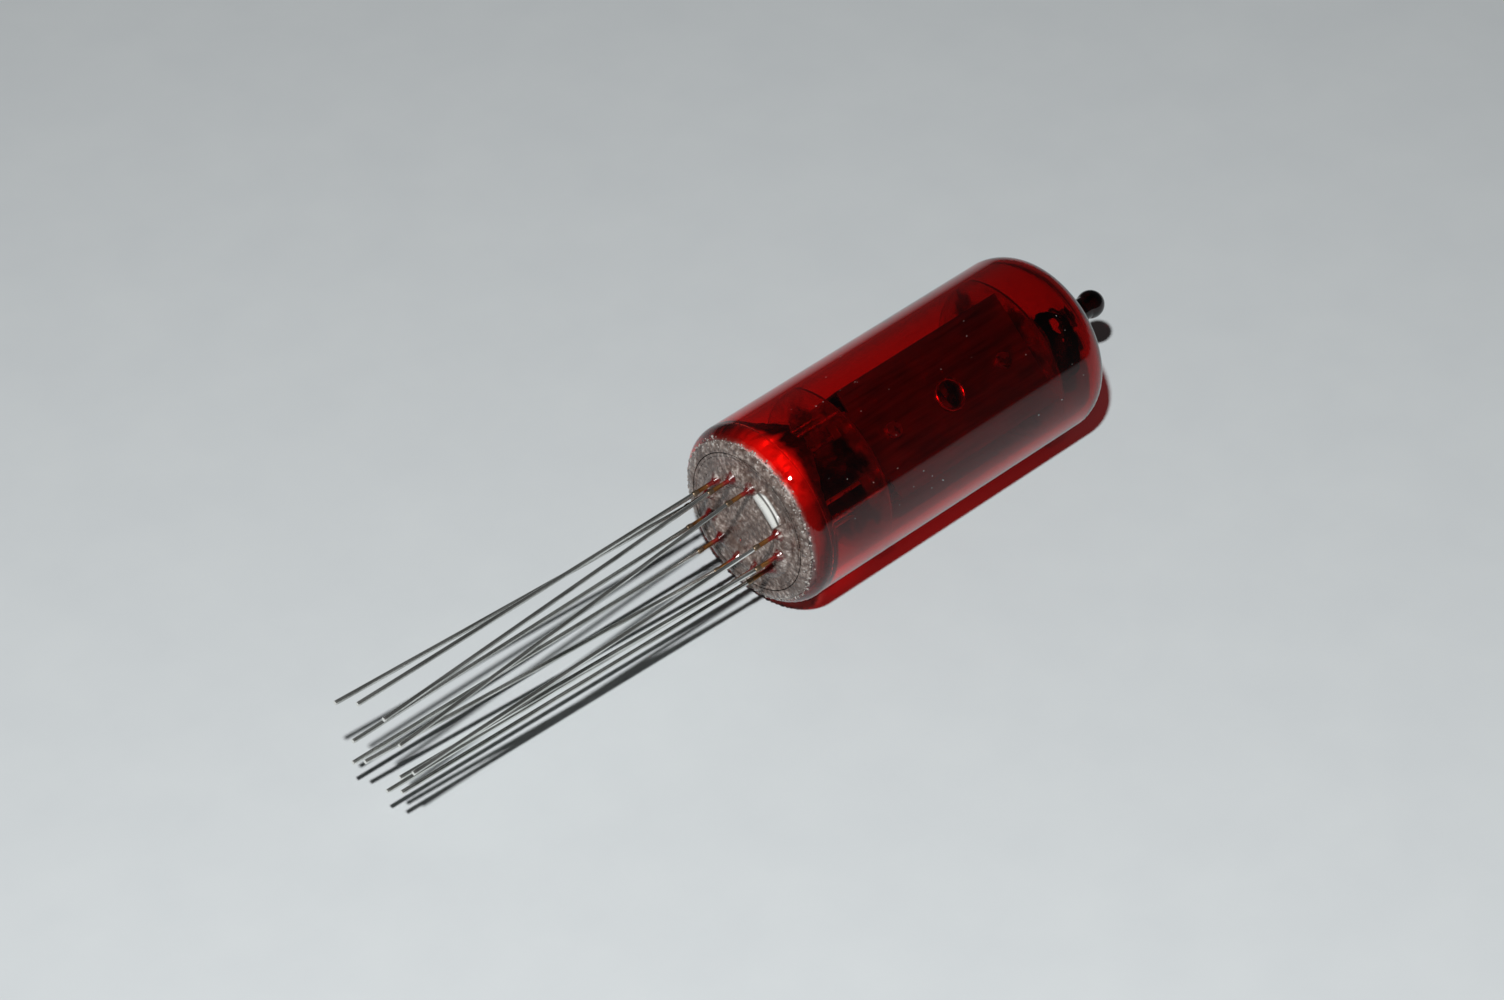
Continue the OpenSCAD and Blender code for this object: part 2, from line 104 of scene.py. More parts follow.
# %% [markdown]
# ## Light
# The photograph has one small lamp close to the camera and a little above it: the shadows are
# short and the glass shows only small bright spots. A round area lamp at about the camera's
# distance gives the same, and also the slow fall of the light towards the far side of the table.
# A dim room fills the shadows. It is darker overhead than towards the walls, or the top of the
# bulb would mirror it as a haze. The view transform is Standard, so that a colour looks on screen
# as it is written here.

# %% Lamp and world
LAMP_AZIMUTH, LAMP_RISE = math.radians(-53), math.radians(54)
LAMP_FAR, LAMP_WIDE, LAMP_WATTS = 520 * MM, 20 * MM, 2.90
FILL_WALLS, FILL_OVERHEAD = 0.052, 0.014
ROOM_TINT = (0.96, 0.98, 1.0, 1)

lamp = bpy.data.objects.new("flash", bpy.data.lights.new("flash", "AREA"))
lamp.data.shape = "DISK"
lamp.data.size = LAMP_WIDE
lamp.data.energy = LAMP_WATTS
lamp.location = AIM + towards(LAMP_AZIMUTH, LAMP_RISE) * LAMP_FAR
lamp.rotation_euler = (AIM - lamp.location).to_track_quat("-Z", "Y").to_euler()
bpy.context.collection.objects.link(lamp)

world = bpy.data.worlds.new("soft_room")
world.use_nodes = True
room = world.node_tree
direction = room.nodes.new("ShaderNodeTexCoord")
upward = room.nodes.new("ShaderNodeSeparateXYZ")
brightness = room.nodes.new("ShaderNodeMapRange")
brightness.inputs["To Min"].default_value = FILL_WALLS
brightness.inputs["To Max"].default_value = FILL_OVERHEAD
room.links.new(direction.outputs["Generated"], upward.inputs[0])
room.links.new(upward.outputs["Z"], brightness.inputs["Value"])
room.links.new(brightness.outputs["Result"], room.nodes["Background"].inputs["Strength"])
room.nodes["Background"].inputs["Color"].default_value = ROOM_TINT
bpy.context.scene.world = world
bpy.context.scene.view_settings.view_transform = "Standard"
print("lamp at (mm)", [round(v / MM) for v in lamp.location])

# %% [markdown]
# ## A workbench for finishes
# Each finish below is a material made of nodes. Written out node by node they would all look
# alike, so a small class keeps the material, its main shader and the few nodes that come back
# again and again: noise in millimetres, a ramp of colours, a bump of a known depth. Values that
# are the same all over a surface go straight onto the shader's own sockets.

# %% Finish class


class Finish:
    """A node material, with short calls for the nodes that the finishes share"""

    def __init__(self, name, **constants):
        self.material = bpy.data.materials.new(name)
        self.material.use_nodes = True
        self.nodes = self.material.node_tree.nodes
        self.skin = self.nodes["Principled BSDF"]
        for socket, value in constants.items():
            self.skin.inputs[socket].default_value = value

    def link(self, source, target):
        self.material.node_tree.links.new(source, target)

    def node(self, kind, inputs=(), **settings):
        made = self.nodes.new("ShaderNode" + kind)
        for key, value in settings.items():
            setattr(made, key, value)
        for place, value in dict(inputs).items():
            if isinstance(value, bpy.types.NodeSocket):
                self.link(value, made.inputs[place])
            else:
                made.inputs[place].default_value = value
        return made

    def maths(self, operation, first, second=0.0, third=0.0):
        """One step of arithmetic, by its node's name"""
        return self.node("Math", {0: first, 1: second, 2: third}, operation=operation).outputs[0]

    def place(self):
        """Where a point is in the tube's own frame, in metres"""
        return self.node("TexCoord").outputs["Object"]

    def along(self):
        """How far along the tube's axis a point is, in millimetres from the base"""
        across = self.node("SeparateXYZ", {0: self.place()})
        return self.maths("DIVIDE", across.outputs["X"], MM)

    def from_axis(self):
        """The arrow from the tube's axis straight out to a point"""
        return self.node("VectorMath", {0: self.place(), 1: (0, 1, 1)}, operation="MULTIPLY").outputs[0]

    def radius(self):
        """How far a point is from the tube's axis, in millimetres"""
        far = self.node("VectorMath", {0: self.from_axis()}, operation="LENGTH").outputs["Value"]
        return self.maths("DIVIDE", far, MM)

    def grain(self, size, stretch=(1, 1, 1), detail=3.0, rough=0.55):
        """Noise whose grains are about this many millimetres, stretched along the axes"""
        wide = Vector([1 / s for s in stretch])
        spot = self.node("VectorMath", {0: self.place(), 1: wide}, operation="MULTIPLY").outputs[0]
        made = self.node("TexNoise", {"Vector": spot, "Scale": 1 / (size * MM), "Detail": detail,
                                      "Roughness": rough})
        return made.outputs[0]

    def fade(self, value, start, end, low=0.0, high=1.0):
        """A smooth step from low at start to high at end"""
        made = self.node("MapRange", {"Value": value, "From Min": start, "From Max": end, "To Min": low,
                                      "To Max": high}, interpolation_type="SMOOTHSTEP")
        return made.outputs["Result"]

    def ramp(self, value, *stops):
        """Colours laid out along a value, as pairs of place and colour"""
        made = self.node("ValToRGB", {0: value})
        band = made.color_ramp.elements
        while len(band) < len(stops):
            band.new(0.5)
        for step, (spot, colour) in zip(band, stops):
            step.position = spot
            step.color = (*colour, 1)
        return made.outputs["Color"]

    def blend(self, share, first, second):
        """One colour turning into another, as the share goes from 0 to 1"""
        made = self.node("Mix", data_type="RGBA")
        for socket, value in ((made.inputs[0], share), (made.inputs[6], first), (made.inputs[7], second)):
            if isinstance(value, bpy.types.NodeSocket):
                self.link(value, socket)
            else:
                socket.default_value = (*value, 1)
        return made.outputs[2]

    def colour(self, source):
        self.link(source, self.skin.inputs["Base Color"])

    def roughness(self, source):
        self.link(source, self.skin.inputs["Roughness"])

    def relief(self, height, depth):
        """Small bumps of this depth in millimetres"""
        made = self.node("Bump", {"Height": height, "Strength": 1.0, "Distance": depth * MM})
        self.link(made.outputs["Normal"], self.skin.inputs["Normal"])

    def let_light_in(self, tint, everything=0.0):
        """Lets lamp and soft light through the glass, tinted, and where asked all other light too"""
        path = self.node("LightPath")
        passing = self.maths("MAXIMUM", path.outputs["Is Shadow Ray"], path.outputs["Is Diffuse Ray"])
        passing = self.maths("MAXIMUM", passing, everything)
        clear = self.node("BsdfTransparent", {"Color": tint})
        mixed = self.node("MixShader", {0: passing, 1: self.skin.outputs[0], 2: clear.outputs[0]})
        self.link(mixed.outputs[0], self.nodes["Material Output"].inputs["Surface"])

    def on(self, *names):
        """Puts the finish on CAD solids by name"""
        for name in names:
            tube[name].data.materials.clear()
            tube[name].data.materials.append(self.material)
        print(self.material.name, "on", len(names), "solids")


def numbered(start):
    """All the solids whose name starts like this"""
    return sorted(name for name in tube if name.startswith(start))


# %% [markdown]
# ## The table
# The tube lies on a smooth pale table top. One flat grid is enough for it, at the height of the
# lowest point of the tube. The faint mottling keeps it from looking like a painted backdrop.

# %% Table top
TABLE_HALF = 1.6

sheet = bmesh.new()
bmesh.ops.create_grid(sheet, x_segments=4, y_segments=4, size=TABLE_HALF)
table_mesh = bpy.data.meshes.new("table_top")
sheet.to_mesh(table_mesh)
sheet.free()
table = bpy.data.objects.new("table_top", table_mesh)
table.location = (AIM.x, 0, cad_low.z)
bpy.context.collection.objects.link(table)
table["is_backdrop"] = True

laminate = Finish("pale_table", Roughness=0.55, **{"Specular IOR Level": 0.3})
laminate.colour(laminate.ramp(laminate.grain(9), (0.3, (0.605, 0.640, 0.655)), (0.7, (0.625, 0.660, 0.672))))
table_mesh.materials.append(laminate.material)
print("table top at (mm)", round(cad_low.z / MM, 2))

# %% [markdown]
# ## Where the glass is melted together
# Bulb and base are two solids here, but on the real tube they are melted into one. Along their
# seam, and on the small ledge above it, light has to go straight on, as if there were no surface.
# The seam's sizes are measured on the solids, and a mask made of nodes finds those places again.

# %% Melted seam
SEAM_NEAR, LEDGE_NEAR, SAME_PLANE = 0.05, 0.02, 0.01
SEAM_R, BASE_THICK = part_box("base_button")[1].z / MM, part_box("base_button")[1].x / MM
BORE_R = max(math.hypot(v.co.y, v.co.z) for v in tube["envelope"].data.vertices
             if abs(v.co.x / MM - BASE_THICK) < SAME_PLANE) / MM
print("seam radius", round(SEAM_R, 2), "bore radius", round(BORE_R, 2), "base", round(BASE_THICK, 2), "mm")


def near(finish, value, target, far):
    """1 where a value is this close to a target, 0 elsewhere"""
    return finish.maths("LESS_THAN", finish.maths("ABSOLUTE", finish.maths("SUBTRACT", value, target)), far)


def melted_seam(finish):
    """1 on the seam between bulb and base and on the ledge above it, 0 elsewhere"""
    on_seam = finish.maths("MULTIPLY", near(finish, finish.radius(), SEAM_R, SEAM_NEAR),
                           finish.maths("LESS_THAN", finish.along(), BASE_THICK + LEDGE_NEAR))
    ledge_middle, ledge_half = (SEAM_R + BORE_R) / 2, (BORE_R - SEAM_R) / 2 + SEAM_NEAR
    on_ledge = finish.maths("MULTIPLY", near(finish, finish.along(), BASE_THICK, LEDGE_NEAR),
                            near(finish, finish.radius(), ledge_middle, ledge_half))
    return finish.maths("MAXIMUM", on_seam, on_ledge)


# %% [markdown]
# ## Red lacquer on the bulb
# The bulb is clear glass, coated with transparent red lacquer on the outside only: thin and bright
# near the base, where it stops, thicker along the wall, thicker still on the dome, and gathered
# dark on the tip. Tinting the whole solid would also redden its inner face and its foot. Here the
# colour follows the surface: red where it faces away from the axis, clear elsewhere. Geometry's
# Normal always turns to the viewer, so Backfacing turns it back outwards. The shader tints light
# by the square root of the colour at each surface. The light that is let in gets the same tint,
# a little deeper on wall and dome, and the thin tint only on the upper side near the base. That is
# painted shade: it darkens the bulb's shadow on the table and the light inside the bulb.

# %% Red lacquer
LACQUER, WALL_LACQUER = (0.34, 0.0008, 0.0005), (0.52, 0.0012, 0.0008)
THIN_LACQUER, THICK_LACQUER = (0.85, 0.003, 0.0015), (0.010, 0.0001, 0.0001)
BARE_GLASS = (0.96, 0.97, 0.96)
SHADOW_DEPTH = 0.72
LACQUER_EDGE, EDGE_RAGGED, THINNED_RAGGED = (0.30, 0.75), 0.5, 3.0
THINNED, RUN_DOWN, GATHERED = (9.0, 3.0), (16.0, 40.0), (44.6, 46.2)
FACES_OUT, LIT_FADE = 0.1, 2 * MM

lacquer = Finish("red_lacquer_on_glass", **{"Transmission Weight": 1.0, "IOR": 1.5})
surface = lacquer.node("NewGeometry")
unturn = lacquer.maths("MULTIPLY_ADD", surface.outputs["Backfacing"], -2.0, 1.0)
outward = lacquer.node("VectorMath", {0: surface.outputs["Normal"], "Scale": unturn},
                       operation="SCALE").outputs[0]
straight_out = lacquer.node("VectorMath", {0: lacquer.from_axis()}, operation="NORMALIZE").outputs[0]
facing = lacquer.node("VectorMath", {0: outward, 1: straight_out}, operation="DOT_PRODUCT").outputs["Value"]
outside = lacquer.maths("GREATER_THAN", facing, FACES_OUT)
ragged = lacquer.maths("MULTIPLY_ADD", lacquer.grain(0.8), EDGE_RAGGED, lacquer.along())
dipped = lacquer.fade(ragged, *(edge + EDGE_RAGGED / 2 for edge in LACQUER_EDGE))
coated = lacquer.maths("MULTIPLY", outside, dipped)
gathered = lacquer.fade(lacquer.along(), *GATHERED)
wandering = lacquer.maths("MULTIPLY_ADD", lacquer.grain(5), THINNED_RAGGED, lacquer.along())
thinned = lacquer.fade(wandering, *THINNED)
thickness = lacquer.grain(6, stretch=(3, 1, 1))
run_down = lacquer.fade(lacquer.along(), *RUN_DOWN)
wall_red, dome_red = (lacquer.ramp(thickness, (0.3, [v * 0.9 for v in c]), (0.7, [v * 1.1 for v in c]))
                      for c in (WALL_LACQUER, LACQUER))
red = lacquer.blend(run_down, wall_red, dome_red)
red = lacquer.blend(thinned, red, THIN_LACQUER)
red = lacquer.blend(gathered, red, THICK_LACQUER)
lacquer.colour(lacquer.blend(coated, BARE_GLASS, red))
lacquer.roughness(lacquer.fade(lacquer.grain(2.5), 0.3, 0.8, 0.0, 0.03))
lacquer.relief(lacquer.grain(7, detail=1), 0.02)
# Painted shade: light let in through wall and dome is tinted deeper than the lacquer looks.
once_wall, once_dome = ([math.sqrt(v) * SHADOW_DEPTH for v in c] for c in (WALL_LACQUER, LACQUER))
once_thin, once_thick = ([math.sqrt(v) for v in c] for c in (THIN_LACQUER, THICK_LACQUER))
once_through = lacquer.blend(run_down, once_wall, once_dome)
level = lacquer.node("SeparateXYZ", {0: lacquer.place()}).outputs["Z"]
# Painted shade: below the axis the light let in keeps the full tint where the lacquer looks thin.
lit_side = lacquer.maths("MULTIPLY", thinned, lacquer.fade(level, -LIT_FADE, LIT_FADE))
passing_red = lacquer.blend(gathered, lacquer.blend(lit_side, once_through, once_thin), once_thick)
lacquer.let_light_in(lacquer.blend(coated, BARE_GLASS, passing_red), melted_seam(lacquer))
lacquer.on("envelope")

# %% [markdown]
# ## Places on the base
# Twelve places lie round a circle on the base. Eleven hold a wire and one holds only a smooth bar.
# The first seal wire says where the circle is. Nodes then turn each point of the glass into its
# offset from the nearest place, so that one set of nodes serves all twelve.

# %% Lead places
PLACES = 12
PLACE_TURN = math.tau / PLACES


def wire_place(name):
    """Where a wire goes through the glass: its distance from the axis and its angle about it"""
    low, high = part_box(name)
    middle = (low + high) / 2
    return math.hypot(middle.y, middle.z), math.atan2(middle.z, middle.y)


LEAD_CIRCLE, FIRST_ANGLE = wire_place("seal_wire_01")
EMPTY_ANGLE = FIRST_ANGLE - PLACE_TURN
print("lead circle (mm)", round(2 * LEAD_CIRCLE / MM, 2),
      "empty place at (degrees)", round(math.degrees(EMPTY_ANGLE)))

pressed = Finish("pressed_glass", **{"Transmission Weight": 0.35, "IOR": 1.5})
corner = pressed.node("SeparateXYZ", {0: pressed.place()})
place_angle = pressed.maths("ARCTAN2", corner.outputs["Z"], corner.outputs["Y"])
turns = pressed.maths("DIVIDE", pressed.maths("SUBTRACT", place_angle, EMPTY_ANGLE), PLACE_TURN)
nearest = pressed.maths("ROUND", turns)
sideways_off = pressed.maths("MULTIPLY", pressed.maths("SUBTRACT", turns, nearest),
                             PLACE_TURN * LEAD_CIRCLE / MM)
outward_off = pressed.maths("SUBTRACT", pressed.radius(), LEAD_CIRCLE / MM)
whole_turns = pressed.maths("ROUND", pressed.maths("DIVIDE", nearest, PLACES))
whole_turns = pressed.maths("MULTIPLY", whole_turns, PLACES)
empty = near(pressed, nearest, whole_turns, 0.5)
to_wire = pressed.node("CombineXYZ", {0: sideways_off, 1: outward_off})
to_wire = pressed.node("VectorMath", {0: to_wire.outputs[0]}, operation="LENGTH").outputs["Value"]

# %% [markdown]
# ## The pressed base
# The base is a disc of clear glass, pressed hot in a rough iron mould: its face is stippled all
# over and sparkles in the light, and looks grey because the grains throw light every way. The
# grain is too fine to model, so it is a bump of two sizes, and some of the light scatters at
# the surface in place of passing through. The light and shade of single grains is also painted
# into the colour as dark and near-white speckles. Round each wire the copper has stained the glass
# red. Only the bar at the empty place came out of the mould smooth. Its bright stripes and the one
# dark line along it are a painted highlight and a painted reflection, laid round the bar's section.

# %% Pressed glass
STAIN_EDGE, STAIN_RAGGED = (1.30, 0.85), 0.9
BAR_ENDS, BAR_SIDES, BAR_RISE = (1.9, 1.75), (1.0, 0.9), (-0.05, -0.15)
PEBBLE_SHARE, PRESSED_DEPTH, BAR_DULL = 1.5, 0.08, 0.12
INNER_FACE = (0.6, 1.6)

stain = pressed.fade(pressed.maths("MULTIPLY_ADD", pressed.grain(0.5), STAIN_RAGGED, to_wire), *STAIN_EDGE)
stain = pressed.maths("MULTIPLY", stain, pressed.maths("SUBTRACT", 1.0, empty))
from_empty = pressed.maths("MULTIPLY", pressed.maths("SUBTRACT", turns, whole_turns), PLACE_TURN)
along_bar = pressed.maths("MULTIPLY", pressed.maths("ABSOLUTE", from_empty), pressed.radius())
across_bar = pressed.maths("ABSOLUTE", outward_off)
within_bar = pressed.maths("MULTIPLY", pressed.fade(along_bar, *BAR_ENDS),
                           pressed.fade(across_bar, *BAR_SIDES))
bar = pressed.maths("MULTIPLY", within_bar, pressed.fade(pressed.along(), *BAR_RISE))
grained = pressed.maths("SUBTRACT", 1.0, bar)

stipple = pressed.grain(0.5, detail=3, rough=0.6)
pebbles = pressed.grain(1.6, detail=2)
bumps = pressed.maths("MULTIPLY_ADD", pebbles, PEBBLE_SHARE, stipple)
pressed.relief(pressed.maths("MULTIPLY", bumps, grained), PRESSED_DEPTH)
# Painted light and shade: the stipple's dark and near-white speckles stand in for lit and shaded grains, over
# the glass's own grey.
grain_tone_and_painted_light = pressed.ramp(stipple, (0.36, (0.12, 0.080, 0.066)), (0.48, (0.24, 0.175, 0.150)),
                    (0.58, (0.40, 0.32, 0.28)), (0.72, (0.86, 0.78, 0.72)))
grain_tone_and_painted_light = pressed.blend(pressed.fade(pressed.grain(3.0), 0.40, 0.64, 0.0, 0.65), grain_tone_and_painted_light, (0.085, 0.052, 0.042))
# Painted highlight: bright stripes and one dark line laid round the bar's section in its colour.
round_bar = pressed.maths("ARCTAN2", outward_off, pressed.maths("MULTIPLY", pressed.along(), -1.0))
round_bar = pressed.maths("MULTIPLY_ADD", round_bar, 1 / math.pi, 0.5)
painted_bar_highlight = pressed.ramp(round_bar, (0.36, (0.30, 0.28, 0.26)),
                     (0.48, (0.72, 0.72, 0.68)), (0.62, (0.97, 0.98, 0.95)), (0.76, (0.88, 0.90, 0.85)),
                     (0.80, (0.07, 0.065, 0.06)), (0.83, (0.07, 0.065, 0.06)), (0.87, (0.95, 0.96, 0.92)),
                     (0.95, (0.60, 0.59, 0.56)))
grain_tone_and_painted_light = pressed.blend(bar, grain_tone_and_painted_light, painted_bar_highlight)
inner_face = pressed.fade(pressed.along(), *INNER_FACE)
grain_tone_and_painted_light = pressed.blend(inner_face, grain_tone_and_painted_light, (0.82, 0.79, 0.76))
pressed.colour(pressed.blend(stain, grain_tone_and_painted_light, (0.16, 0.010, 0.009)))
uneven = pressed.fade(pebbles, 0.3, 0.7, 0.10, 0.28)
pressed.roughness(pressed.maths("MULTIPLY_ADD", bar, BAR_DULL, uneven))
seedy = pressed.ramp(stipple, (0.3, (0.42, 0.40, 0.38)), (0.7, (0.58, 0.56, 0.54)))
pressed.let_light_in(seedy, melted_seam(pressed))
pressed.on("base_button")

# %% [markdown]
# ## Leads
# The long leads are tinned wire, drawn through a die: the light runs along them in thin lines.
# Noise stretched far along the wire paints these lines into the metal's colour, partly as die marks
# and partly as painted sheen, and the cut ends are left bright.

# %% Leads
CUT_END = (cad_low.x / MM + 0.35, cad_low.x / MM + 0.05)

tinned = Finish("tinned_wire", Metallic=0.92)
drawn = tinned.grain(0.22, stretch=(60, 1, 1))
# Painted sheen: the bright and dark streaks stand in for lines of light along the wire, over real die marks.
tin_and_painted_sheen = tinned.ramp(drawn, (0.32, (0.32, 0.33, 0.31)), (0.5, (0.62, 0.63, 0.60)), (0.66, (0.92, 0.93, 0.90)))
tinned.colour(tinned.blend(tinned.fade(tinned.along(), *CUT_END), tin_and_painted_sheen, (0.95, 0.94, 0.90)))
tinned.roughness(tinned.fade(tinned.grain(1.5, stretch=(4, 1, 1)), 0.3, 0.7, 0.07, 0.22))
tinned.relief(drawn, 0.005)
tinned.on(*numbered("lead_"))

# %% [markdown]
# ## Seal wires
# Where a wire passes through glass it is copper-clad, because copper seals to glass. The heat of
# sealing leaves it red in the glass and brown just outside, so its colour follows the distance
# from the base.

# %% Seal wires
OUT_OF_GLASS, SEALED_RAGGED = (-1.9, -1.1), 0.6

clad = Finish("copper_clad_wire")
clad_lines = clad.grain(0.5, stretch=(3, 1, 1))
clad_brown = clad.ramp(clad_lines, (0.3, (0.20, 0.075, 0.020)), (0.7, (0.42, 0.19, 0.055)))
clad_red = clad.ramp(clad.grain(0.4), (0.3, (0.12, 0.008, 0.008)), (0.7, (0.30, 0.020, 0.016)))
sealed = clad.fade(clad.maths("MULTIPLY_ADD", clad.grain(0.6), SEALED_RAGGED, clad.along()), *OUT_OF_GLASS)
clad.colour(clad.blend(sealed, clad_brown, clad_red))
clad.link(clad.fade(sealed, 0, 1, 0.85, 0.25), clad.skin.inputs["Metallic"])
clad.roughness(clad.fade(clad.grain(0.8), 0.3, 0.7, 0.30, 0.50))
clad.relief(clad.grain(0.2), 0.015)
clad.on(*numbered("seal_wire_"))

# %% [markdown]
# ## The parts inside
# Behind the red glass sit bright nickel wires, thin numeral sheets, a fine mesh and a darkened
# shield. They show only dimly in this view, but the part is also seen from its front, where the
# numerals are read through the mesh, so each gets its own metal.

# %% Inner metal
nickel = Finish("drawn_nickel", Metallic=1.0)
nickel_lines = nickel.grain(0.3, stretch=(12, 1, 1))
nickel.colour(nickel.ramp(nickel_lines, (0.3, (0.38, 0.37, 0.35)), (0.7, (0.64, 0.62, 0.58))))
nickel.roughness(nickel.fade(nickel.grain(1.2), 0.3, 0.7, 0.22, 0.40))
nickel.on(*numbered("riser_"), *numbered("stack_rod_"), "getter_post")

numeral = Finish("numeral_sheet", Metallic=1.0)
heat_tint = numeral.grain(4, detail=2)
numeral.colour(numeral.ramp(heat_tint, (0.3, (0.34, 0.32, 0.30)), (0.6, (0.50, 0.48, 0.45)),
                            (0.8, (0.58, 0.53, 0.46))))
numeral.roughness(numeral.fade(numeral.grain(0.6), 0.3, 0.7, 0.30, 0.48))
numeral.relief(numeral.grain(0.25), 0.010)
numeral.on(*numbered("cathode_"))

mesh = Finish("anode_mesh", Metallic=1.0)
mesh.colour(mesh.ramp(mesh.grain(2.0), (0.3, (0.36, 0.35, 0.33)), (0.7, (0.54, 0.52, 0.49))))
mesh.roughness(mesh.fade(mesh.grain(0.5), 0.3, 0.7, 0.30, 0.45))
mesh.on("front_mesh")

shield = Finish("darkened_shield", Metallic=0.55)
rolled = shield.grain(0.5, stretch=(14, 1, 1))
shield.colour(shield.ramp(rolled, (0.3, (0.05, 0.047, 0.045)), (0.7, (0.125, 0.119, 0.113))))
shield.roughness(shield.fade(shield.grain(1.5), 0.3, 0.7, 0.34, 0.55))
shield.relief(rolled, 0.012)
shield.on("rear_shield")

getter = Finish("fired_getter", Metallic=0.8)
burnt = getter.grain(0.8)
getter.colour(getter.ramp(burnt, (0.35, (0.045, 0.045, 0.055)), (0.6, (0.16, 0.15, 0.14)),
                          (0.8, (0.30, 0.26, 0.20))))
getter.roughness(getter.fade(getter.grain(0.5), 0.3, 0.7, 0.30, 0.55))
getter.relief(getter.grain(0.3), 0.02)
getter.on("getter_ring")

# %% [markdown]
# ## Mica and ceramic
# Two mica discs centre the stack in the bulb, and small ceramic rings keep the numerals apart.
# Metal that the glow has worn off the numerals has settled on the mica as dark smoke, thick in
# the middle and gone towards the rim. The smoke is only a colour: the noise is added to the
# distance from the axis, which makes its edge ragged. The ceramic is matt and finely speckled.

# %% Mica and ceramic
SMOKE_EDGE, SMOKE_RAGGED = (13.4, 11.2), 12.0

mica = Finish("smoked_mica", **{"Transmission Weight": 0.9, "IOR": 1.58})
flakes = mica.grain(2.2, detail=5, rough=0.65)
ragged_r = mica.maths("MULTIPLY_ADD", mica.grain(3.2, detail=4), SMOKE_RAGGED, mica.radius())
smoke = mica.fade(ragged_r, *SMOKE_EDGE)
amber = mica.ramp(flakes, (0.3, (0.50, 0.40, 0.28)), (0.55, (0.74, 0.66, 0.52)), (0.75, (0.88, 0.84, 0.74)))
soot = mica.ramp(flakes, (0.45, (0.010, 0.008, 0.007)), (0.66, (0.10, 0.080, 0.060)))
mica.colour(mica.blend(smoke, amber, soot))
mica.roughness(mica.fade(mica.grain(0.7), 0.3, 0.7, 0.05, 0.16))
mica.relief(mica.grain(1.2), 0.03)
mica.let_light_in(mica.blend(smoke, (0.86, 0.81, 0.72), (0.04, 0.035, 0.03)))
mica.on("lower_spacer", "upper_spacer")

ceramic = Finish("fired_ceramic")
speckle = ceramic.grain(0.4)
ceramic.colour(ceramic.ramp(speckle, (0.3, (0.76, 0.74, 0.69)), (0.7, (0.88, 0.87, 0.83))))
ceramic.roughness(ceramic.fade(speckle, 0.3, 0.7, 0.50, 0.70))
ceramic.relief(ceramic.grain(0.15), 0.010)
ceramic.on(*numbered("sleeve_"), *numbered("spacer_rings_"))

# %% [markdown]
# ## Tools for small pieces
# The small pieces below are built point by point. Several are spun round an axis: closed columns
# of points, each joined to the next and the last to the first. These helpers give the direction
# at an angle, the joining, and the step from loose points to a finished piece of the tube.

# %% Small piece tools


def out_at(angle):
    """The direction straight out from the tube's axis at this angle"""
    return Vector((0, math.cos(angle), math.sin(angle)))


def join_round(heap, columns):
    """Joins each closed column of points to the next, all the way round"""
    for one, other in zip(columns, columns[1:] + columns[:1]):
        for row in range(len(one)):
            after = (row + 1) % len(one)
            heap.faces.new((one[row], other[row], other[after], one[after]))


def add_piece(name, heap, finish):
    """Turns a bmesh into a piece of the tube with a finish"""
    bmesh.ops.recalc_face_normals(heap, faces=heap.faces)
    made = bpy.data.meshes.new(name)
    heap.to_mesh(made)
    heap.free()
    made.shade_smooth()
    made.materials.append(finish.material)
    piece = bpy.data.objects.new(name, made)
    bpy.context.collection.objects.link(piece)
    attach(piece, "root")
    print(name, "with", len(made.polygons), "faces")


# %% [markdown]
# ## The melted rim
# Where bulb and base were melted together, the glass is lumpy and cloudy from the flat of the
# base to the edge of the lacquer. It could be a bump on the bulb, but the lumps are large enough
# to catch the light one by one. So a thin skin is laid round the rounded foot, row by row, and
# noise pushes each of its points a little out of the glass.

# %% Melted rim
BULB_R, FOOT_R = cad_high.z, 2.0 * MM
RIM_FROM, RIM_TO = 7.0 * MM, 8.55 * MM
RIM_ROWS, RIM_STEPS = 16, 480
RIM_LUMP, RIM_LIFT, RIM_SUNK = 0.07 * MM, 0.01 * MM, 0.05 * MM
WIDE_LUMPS, FINE_LUMPS = 0.35 * MM, 0.14 * MM
LUMP_MEAN, WIDE_SHARE, FINE_SHARE = 0.5, 0.5, 0.25


def foot_point(radius, angle):
    """The point of the flat or rounded foot at this radius, and its outward direction"""
    out = max(radius - (BULB_R - FOOT_R), 0)
    deep = math.sqrt(FOOT_R ** 2 - out ** 2)
    side = out_at(angle)
    return Vector((FOOT_R - deep, 0, 0)) + side * radius, (Vector((-deep, 0, 0)) + side * out).normalized()


rim = bmesh.new()
columns = []
for step in range(RIM_STEPS):
    angle = math.tau * step / RIM_STEPS
    column = []
    for row in range(RIM_ROWS + 1):
        share = row / RIM_ROWS
        spot, upright = foot_point(RIM_FROM + (RIM_TO - RIM_FROM) * share, angle)
        lump = LUMP_MEAN + WIDE_SHARE * noise.noise(spot / WIDE_LUMPS)
        lump += FINE_SHARE * noise.noise(spot / FINE_LUMPS)
        swell = math.sin(math.pi * share) if 0 < row < RIM_ROWS else 0
        push = RIM_LUMP * max(lump, 0) * swell + RIM_LIFT * (swell > 0)
        column.append(rim.verts.new(spot + upright * push))
    middle, upright = foot_point((RIM_FROM + RIM_TO) / 2, angle)
    column.append(rim.verts.new(middle - upright * RIM_SUNK))
    columns.append(column)
join_round(rim, columns)
add_piece("melted_rim", rim, pressed)

